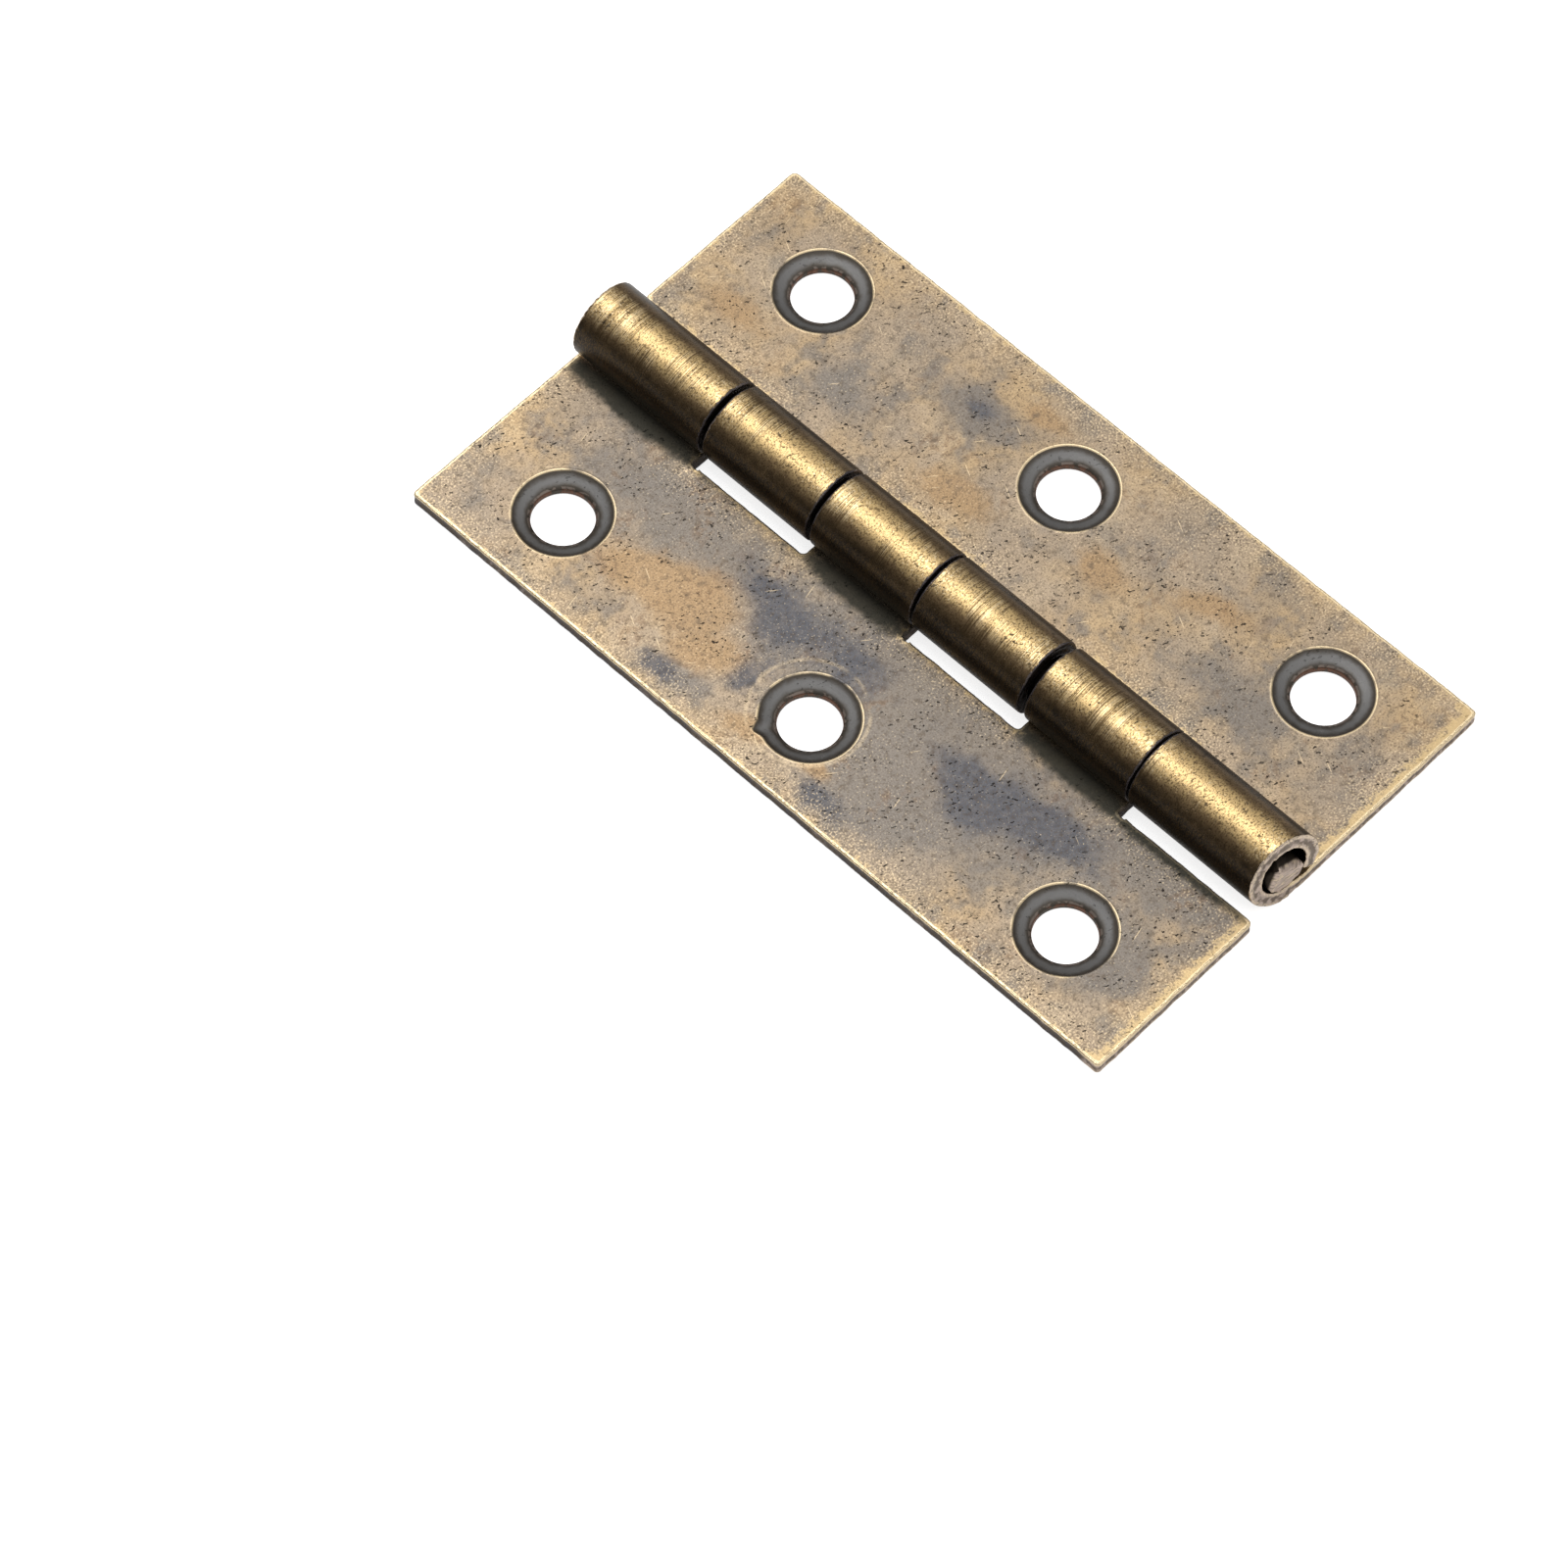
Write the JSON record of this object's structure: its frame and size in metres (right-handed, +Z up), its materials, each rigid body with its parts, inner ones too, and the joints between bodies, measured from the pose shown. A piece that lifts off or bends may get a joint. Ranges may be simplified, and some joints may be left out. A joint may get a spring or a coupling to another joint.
{
  "type": "box hinge",
  "caption": "Small open box hinge of rolled sheet steel: two oblong leaves with countersunk screw holes, and interleaved knuckles round a fixed pin.",
  "frame": {"origin": "middle of the outline of the open hinge, on the underside of its leaves", "axes": "+Y along the barrel towards the first knuckle of the left leaf, +X towards the right leaf, +Z up, to the side that the barrel stands on"},
  "size_m": [0.038, 0.064, 0.006],
  "materials": {
    "left_leaf_plating": "satin antique bronze plating, worn at the edges",
    "right_leaf_plating": "satin antique bronze plating, worn at the edges",
    "pin_steel": "cut steel wire"
  },
  "bodies": {
    "fixed_leaf": {"left_leaf": "left_leaf_plating", "hinge_pin": "pin_steel"},
    "swinging_leaf": {"right_leaf": "right_leaf_plating"}
  },
  "joints": [
    {"name": "leaf_swing", "type": "hinge", "parent": "fixed_leaf", "child": "swinging_leaf", "pos_m": [-0.00032, 0, 0.003], "axis": [0, -1, 0], "range_deg": [-95, 180]}
  ]
}
